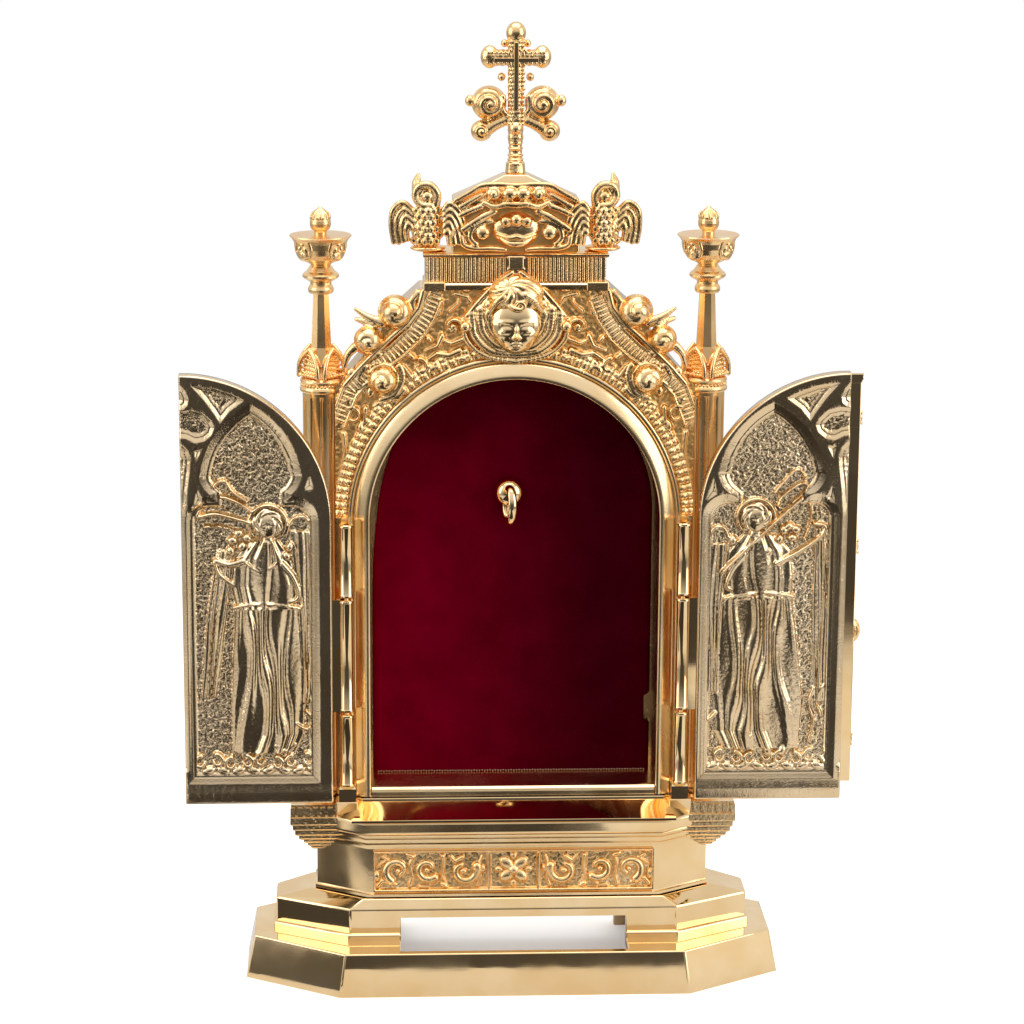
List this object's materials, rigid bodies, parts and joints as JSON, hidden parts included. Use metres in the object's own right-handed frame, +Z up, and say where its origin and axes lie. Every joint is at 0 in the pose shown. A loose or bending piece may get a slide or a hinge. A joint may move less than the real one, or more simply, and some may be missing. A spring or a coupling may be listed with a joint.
{
  "type": "reliquary",
  "caption": "Altar-shaped table reliquary of gilt cast brass: a velvet-lined arched niche with a hook for a relic, shut by a pair of angel doors under a cross.",
  "frame": {"origin": "middle of the bounding box on the surface that the foot stands on, with both doors open", "axes": "+Z up, +Y towards the back, +X to the right as seen from the front"},
  "size_m": [0.1756, 0.055, 0.25],
  "materials": {
    "polished_gilt": "mirror polished, gold plated",
    "cast_gilt": "cast relief, bright gold plated, amber in the recesses",
    "plain_gilt": "plain turned or rolled, gold plated",
    "velvet": "deep crimson velvet glued on a board"
  },
  "bodies": {
    "shrine": {"foot": "polished_gilt", "predella": "cast_gilt", "niche_front": "cast_gilt", "back_plate": "plain_gilt", "velvet_board": "velvet", "relic_hook": "plain_gilt", "cross": "cast_gilt", "left_column": "cast_gilt", "right_column": "cast_gilt", "left_hinge_pin": "plain_gilt", "right_hinge_pin": "plain_gilt"},
    "left_door": {"left_door": "cast_gilt"},
    "right_door": {"right_door": "cast_gilt"}
  },
  "joints": [
    {"name": "left_door_hinge", "type": "hinge", "parent": "shrine", "child": "left_door", "pos_m": [-0.0459, -0.0136, 0.0884], "axis": [0, 0, 1], "range_deg": [0, 180]},
    {"name": "right_door_hinge", "type": "hinge", "parent": "shrine", "child": "right_door", "pos_m": [0.0409, -0.0136, 0.0884], "axis": [0, 0, -1], "range_deg": [0, 180]}
  ]
}
